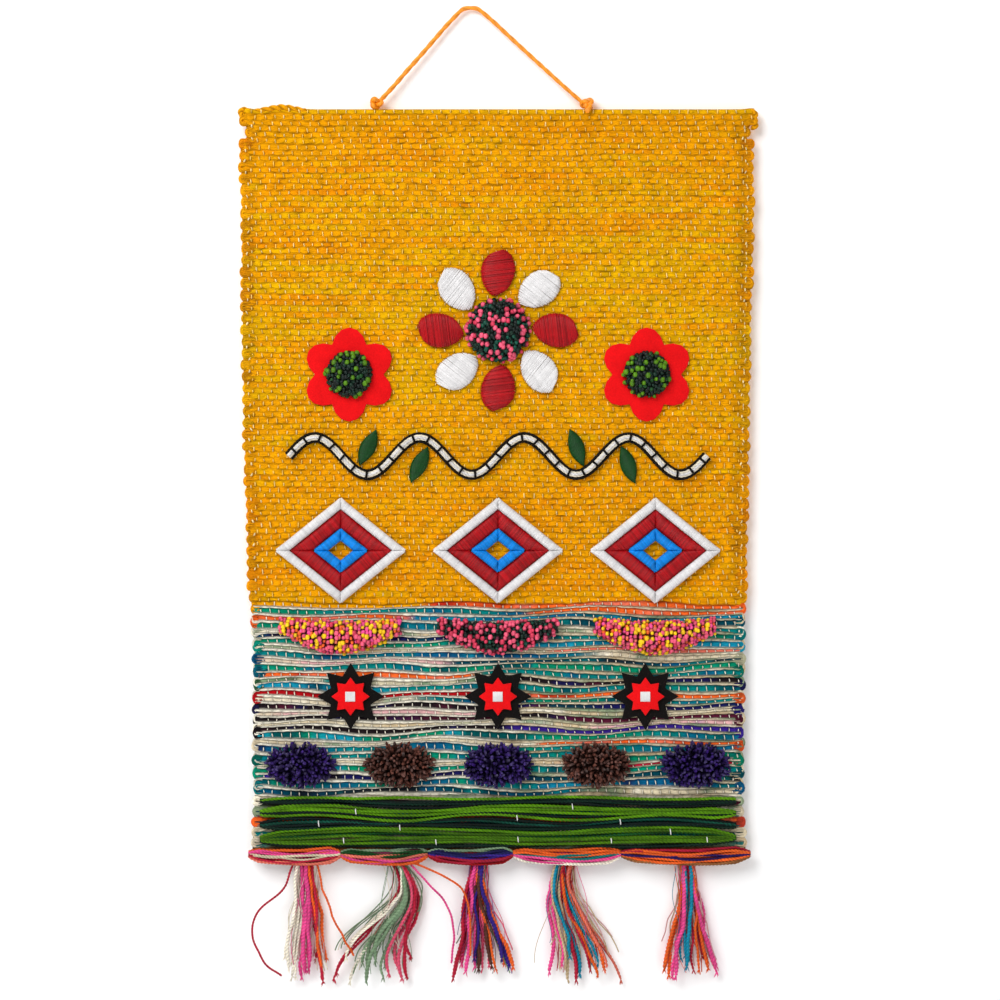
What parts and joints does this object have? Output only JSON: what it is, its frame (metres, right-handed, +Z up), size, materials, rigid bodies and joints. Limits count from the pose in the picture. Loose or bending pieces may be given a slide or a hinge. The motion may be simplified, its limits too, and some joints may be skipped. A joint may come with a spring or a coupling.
{
  "type": "handwoven jute wall hanging on a cord",
  "caption": "Golden handwoven hanging with a folded heading, striped lower zone, sewn-on and pile motifs, green border, yarn edging, tassels and a twisted cord to hang it by.",
  "frame": {"origin": "on the wall plane, at the nail that carries the hanging cord's top", "axes": "+Z up, the front faces -Y, the wall is the plane y = 0, +X to the right seen from the front"},
  "size_m": [0.365, 0.0199, 0.6848],
  "materials": {
    "golden_cloth": "thick handwoven wool and jute, weft-faced, pale warp dashes",
    "cord_yarn": "two-ply twisted cotton cord",
    "green_yarn": "couched two-ply wool yarn",
    "dark_green_yarn": "couched two-ply wool yarn",
    "mixed_yarn": "bundles of many-coloured wool yarn",
    "tassel_yarn": "loose two-ply yarn in many colours",
    "red_satin": "satin stitch in wool",
    "white_satin": "satin stitch and wrapped bars in wool",
    "blue_satin": "wrapped bars in wool",
    "green_satin": "satin stitch in wool",
    "pink_green_pile": "looped pile in pink and dark green",
    "pink_yellow_pile": "looped pile in pink and yellow",
    "green_pile": "looped pile in dark green and lime",
    "red_felt": "cut wool felt",
    "black_felt": "cut wool felt",
    "vine_yarn": "cream core with black binding yarn",
    "purple_shag": "cut shaggy wool",
    "brown_shag": "cut shaggy wool"
  },
  "bodies": {
    "root": {"ground_cloth": "golden_cloth", "hanging_cord": "cord_yarn", "knot_left": "cord_yarn", "knot_right": "cord_yarn", "border_bundle_2": "green_yarn", "border_bundle_4": "green_yarn", "border_bundle_1": "dark_green_yarn", "border_bundle_3": "dark_green_yarn", "edging_1": "mixed_yarn", "edging_2": "mixed_yarn", "edging_3": "mixed_yarn", "edging_4": "mixed_yarn", "edging_5": "mixed_yarn", "tassel_1": "tassel_yarn", "tassel_2": "tassel_yarn", "tassel_3": "tassel_yarn", "tassel_4": "tassel_yarn", "tassel_5": "tassel_yarn", "rosette_petal_1": "red_satin", "rosette_petal_3": "red_satin", "rosette_petal_5": "red_satin", "rosette_petal_7": "red_satin", "lozenge_field_1": "red_satin", "lozenge_field_2": "red_satin", "lozenge_field_3": "red_satin", "rosette_petal_2": "white_satin", "rosette_petal_4": "white_satin", "rosette_petal_6": "white_satin", "rosette_petal_8": "white_satin", "lozenge_frame_1": "white_satin", "lozenge_frame_2": "white_satin", "lozenge_frame_3": "white_satin", "lozenge_inner_1": "blue_satin", "lozenge_inner_2": "blue_satin", "lozenge_inner_3": "blue_satin", "vine_leaf_1": "green_satin", "vine_leaf_2": "green_satin", "vine_leaf_3": "green_satin", "vine_leaf_4": "green_satin", "rosette_pile": "pink_green_pile", "pile_swag_2": "pink_green_pile", "pile_swag_1": "pink_yellow_pile", "pile_swag_3": "pink_yellow_pile", "flower_pile_left": "green_pile", "flower_pile_right": "green_pile", "felt_flower_left": "red_felt", "felt_flower_right": "red_felt", "star_red_1": "red_felt", "star_red_2": "red_felt", "star_red_3": "red_felt", "star_black_1": "black_felt", "star_black_2": "black_felt", "star_black_3": "black_felt", "vine_cord": "vine_yarn", "shag_tuft_1": "purple_shag", "shag_tuft_3": "purple_shag", "shag_tuft_5": "purple_shag", "shag_tuft_2": "brown_shag", "shag_tuft_4": "brown_shag"}
  },
  "joints": []
}
